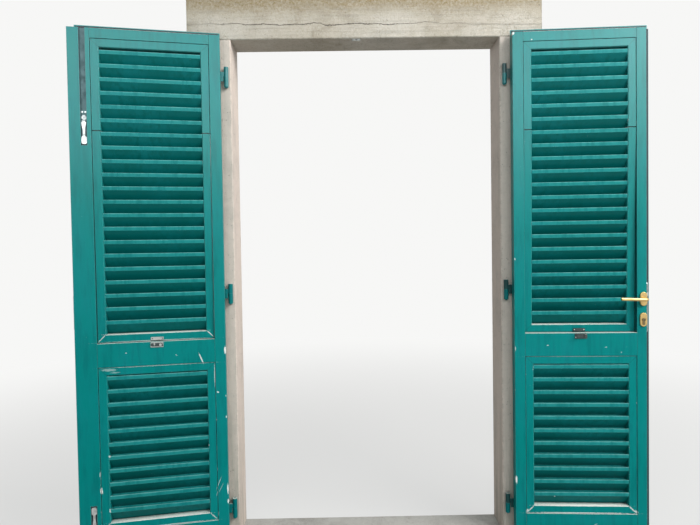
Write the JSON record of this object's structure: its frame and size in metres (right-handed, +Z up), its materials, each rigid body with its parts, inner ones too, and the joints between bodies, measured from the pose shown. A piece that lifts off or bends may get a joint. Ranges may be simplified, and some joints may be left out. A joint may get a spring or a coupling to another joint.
{
  "type": "louvred door shutters with stone surround",
  "caption": "Pair of louvred door shutters in glossy green paint, folded open on pintle hinges beside a plain stone doorway surround, with swing-out flaps, lever bolts and a lever lock.",
  "frame": {"origin": "on the ground, midway between the jambs, in the plane of their front faces", "axes": "+Z up, -Y out of the building towards the street, +X to the right as seen from the street"},
  "size_m": [2.6572, 0.3468, 2.666],
  "materials": {
    "stone": "limewashed, worn",
    "painted_aluminium": "gloss paint, chipped",
    "painted_steel": "gloss paint",
    "zinc_steel": "dull zinc",
    "plain_steel": "dull nickel",
    "dark_steel": "dark, worn",
    "rubber": "dull, dusty",
    "brass": "lacquered, worn"
  },
  "bodies": {
    "surround": {"left_jamb": "stone", "right_jamb": "stone", "lintel": "stone", "threshold": "stone", "wall_pintles": "painted_steel", "bolt_sockets": "zinc_steel"},
    "left_leaf": {"left_hinge_stile": "painted_aluminium", "left_meeting_stile": "painted_aluminium", "left_top_rail": "painted_aluminium", "left_mid_rail": "painted_aluminium", "left_bottom_rail": "painted_aluminium", "left_upper_frame": "painted_aluminium", "left_upper_slats": "painted_aluminium", "left_lower_frame": "painted_aluminium", "left_lower_slats": "painted_aluminium", "left_hinge_straps": "painted_steel", "left_strap_screws": "plain_steel", "left_flap_pins": "plain_steel", "left_catch_keeper": "plain_steel", "left_lap_seal": "rubber", "flush_bolt_channels": "zinc_steel", "flush_bolt_cases": "plain_steel", "flush_bolt_screws": "plain_steel", "strike_plate": "zinc_steel"},
    "right_leaf": {"right_hinge_stile": "painted_aluminium", "right_meeting_stile": "painted_aluminium", "right_top_rail": "painted_aluminium", "right_mid_rail": "painted_aluminium", "right_bottom_rail": "painted_aluminium", "right_upper_frame": "painted_aluminium", "right_upper_slats": "painted_aluminium", "right_lower_frame": "painted_aluminium", "right_lower_slats": "painted_aluminium", "right_hinge_straps": "painted_steel", "right_strap_screws": "plain_steel", "right_flap_pins": "plain_steel", "right_catch_keeper": "dark_steel", "right_lap_seal": "rubber", "lock_case": "plain_steel", "lock_faceplate": "zinc_steel", "lock_cylinder": "brass", "lock_oval_plates": "brass", "lock_screws": "plain_steel"},
    "left_flap": {"left_flap_frame": "painted_aluminium", "left_flap_slats": "painted_aluminium", "left_catch_stud": "plain_steel"},
    "right_flap": {"right_flap_frame": "painted_aluminium", "right_flap_slats": "painted_aluminium", "right_catch_stud": "dark_steel"},
    "left_hook": {"left_catch_hook": "plain_steel"},
    "right_hook": {"right_catch_hook": "dark_steel"},
    "upper_lever": {"upper_bolt_lever": "plain_steel"},
    "upper_rod": {"upper_bolt_rod": "plain_steel"},
    "lower_lever": {"lower_bolt_lever": "plain_steel"},
    "lower_rod": {"lower_bolt_rod": "plain_steel"},
    "handle": {"inside_handle": "brass", "outside_knob": "brass", "handle_spindle": "plain_steel"},
    "latch": {"latch_bolt": "plain_steel"},
    "dead_bolt": {"dead_bolt": "plain_steel"}
  },
  "joints": [
    {"name": "left_leaf_swing", "type": "hinge", "parent": "surround", "child": "left_leaf", "pos_m": [-0.665, -0.014, 1.2], "axis": [0, 0, 1], "range_deg": [-9, 169.6]},
    {"name": "right_leaf_swing", "type": "hinge", "parent": "surround", "child": "right_leaf", "pos_m": [0.665, -0.014, 1.2], "axis": [0, 0, 1], "range_deg": [-176.5, 1]},
    {"name": "left_flap_swing", "type": "hinge", "parent": "left_leaf", "child": "left_flap", "pos_m": [-0.99026, -0.092, 1.973], "axis": [0.9836, 0.1805, 0], "range_deg": [-0.5, 44.5]},
    {"name": "right_flap_swing", "type": "hinge", "parent": "right_leaf", "child": "right_flap", "pos_m": [0.99728, -0.05236, 1.973], "axis": [0.9981, -0.061, 0], "range_deg": [-1.4, 43.6]},
    {"name": "left_hook_turn", "type": "hinge", "parent": "left_leaf", "child": "left_hook", "pos_m": [-0.96785, -0.1255, 1.0085], "axis": [-0.1805, 0.9836, 0], "range_deg": [0, 90]},
    {"name": "right_hook_turn", "type": "hinge", "parent": "right_leaf", "child": "right_hook", "pos_m": [0.97905, -0.08831, 1.0085], "axis": [-0.061, -0.9981, 0], "range_deg": [0, 90]},
    {"name": "upper_lever_turn", "type": "hinge", "parent": "left_leaf", "child": "upper_lever", "pos_m": [-1.26995, -0.1718, 2.025], "axis": [-0.9836, -0.1805, 0], "range_deg": [0, 180]},
    {"name": "lower_lever_turn", "type": "hinge", "parent": "left_leaf", "child": "lower_lever", "pos_m": [-1.26995, -0.1718, 0.175], "axis": [0.9836, 0.1805, 0], "range_deg": [0, 180]},
    {"name": "upper_rod_slide", "type": "slide", "parent": "left_leaf", "child": "upper_rod", "axis": [0, 0, 1], "range_m": [0, 0.022]},
    {"name": "lower_rod_slide", "type": "slide", "parent": "left_leaf", "child": "lower_rod", "axis": [0, 0, -1], "range_m": [0, 0.022]},
    {"name": "handle_turn", "type": "hinge", "parent": "right_leaf", "child": "handle", "pos_m": [1.28143, -0.09128, 1.181], "axis": [-0.061, -0.9981, 0], "range_deg": [0, 40], "stiffness_Nm_per_rad": 0.8, "springref_deg": -28.65},
    {"name": "latch_slide", "type": "slide", "parent": "right_leaf", "child": "latch", "axis": [0.9981, -0.061, 0], "range_m": [-0.0101, 0]},
    {"name": "dead_bolt_slide", "type": "slide", "parent": "right_leaf", "child": "dead_bolt", "axis": [0.9981, -0.061, 0], "range_m": [0, 0.014]}
  ],
  "couplings": [
    {"joint": "upper_rod_slide", "follows": "upper_lever_turn", "m_per_rad": 0.007},
    {"joint": "lower_rod_slide", "follows": "lower_lever_turn", "m_per_rad": 0.007},
    {"joint": "latch_slide", "follows": "handle_turn", "m_per_rad": -0.014323}
  ]
}
